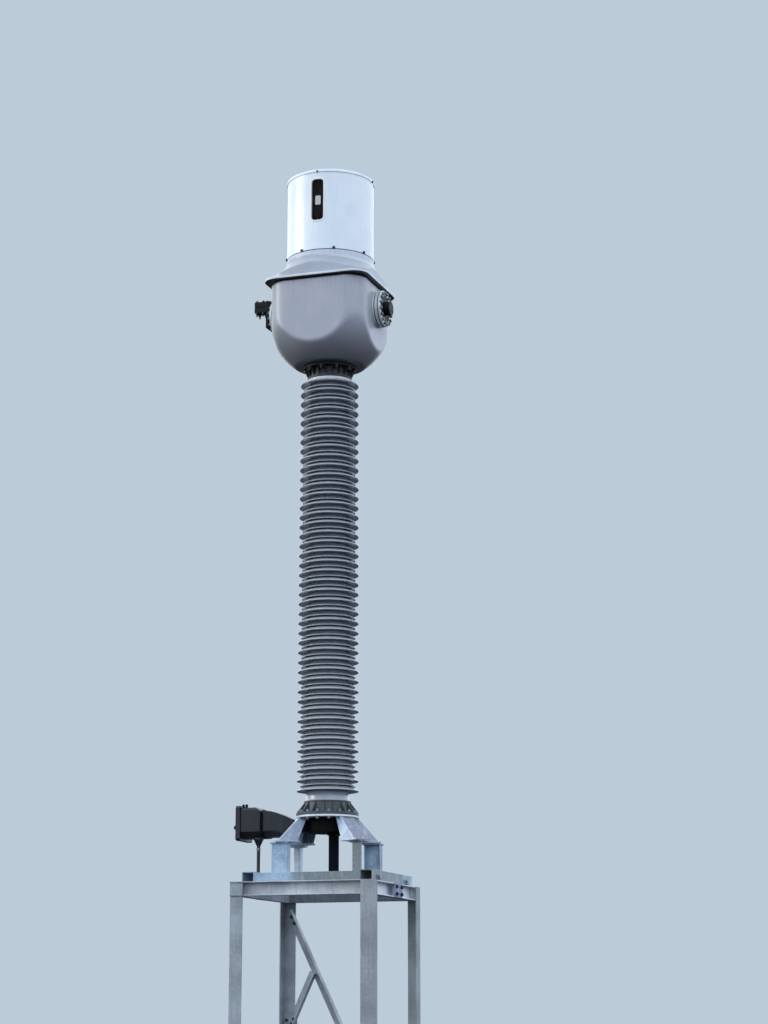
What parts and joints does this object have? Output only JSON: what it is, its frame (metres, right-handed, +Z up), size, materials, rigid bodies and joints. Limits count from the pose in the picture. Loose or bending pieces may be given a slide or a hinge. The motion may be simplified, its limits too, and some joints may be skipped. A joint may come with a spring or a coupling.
{
  "type": "substation current transformer",
  "caption": "Oil-filled top-core current transformer: square domed head with window, tall ribbed porcelain column, splayed base and side box on a square galvanised steel stand.",
  "frame": {"origin": "on the ground at the centre of the stand, under the transformer's axis", "axes": "+Z up along the transformer's axis; -Y is the front, which the oil-level window faces; the primary terminals lie along X and the terminal box is on the -X side"},
  "size_m": [1.5, 1.5, 8.306],
  "materials": {
    "stand_steel": "weathered hot-dip galvanised steel, dull grey",
    "adapter_steel": "newer galvanised steel, pale bluish grey",
    "leg_steel": "bright galvanised steel plate",
    "dark_casting": "dark grey painted casting, satin",
    "drum_paint": "very dark grey paint, satin",
    "box_paint": "near black paint, satin",
    "porcelain_glaze": "mid grey glazed porcelain",
    "pot_paint": "mid grey paint on a smooth casting, satin",
    "gasket_rubber": "black rubber, matt",
    "cover_paint": "light grey paint, satin",
    "housing_paint": "near white paint, semi-gloss",
    "window_trim": "light grey painted border",
    "window_dark": "dark panel behind the window",
    "pointer_white": "white pointer",
    "clear_glass": "clear flat glass",
    "ring_metal": "cast aluminium ring, dull",
    "terminal_dark": "dark weathered terminal casting"
  },
  "bodies": {
    "root": {"foot_plates": "stand_steel", "stand_columns": "stand_steel", "front_back_beams": "stand_steel", "side_beams": "stand_steel", "beam_plates": "stand_steel", "long_brace": "stand_steel", "short_brace": "stand_steel", "brace_gusset": "stand_steel", "side_rails": "adapter_steel", "cross_channels": "adapter_steel", "stub_bearers": "adapter_steel", "stubs": "adapter_steel", "stub_caps": "adapter_steel", "base_legs": "leg_steel", "leg_feet": "leg_steel", "base_plate": "leg_steel", "base_drum": "drum_paint", "centre_duct": "drum_paint", "box_lid": "box_paint", "box_body": "box_paint", "box_neck": "box_paint", "gland_block": "box_paint", "conduit": "box_paint", "lower_flange": "dark_casting", "porcelain": "porcelain_glaze", "upper_flange": "dark_casting", "head_pot": "pot_paint", "head_gasket": "gasket_rubber", "head_cover": "cover_paint", "bellows_housing": "housing_paint", "housing_lid": "housing_paint", "window_border_ring": "window_trim", "window_back": "window_dark", "level_pointer": "pointer_white", "window_glass": "clear_glass", "terminal_necks": "pot_paint", "terminal_rings": "ring_metal", "terminal_stems": "terminal_dark", "line_clamp": "terminal_dark"}
  },
  "joints": []
}
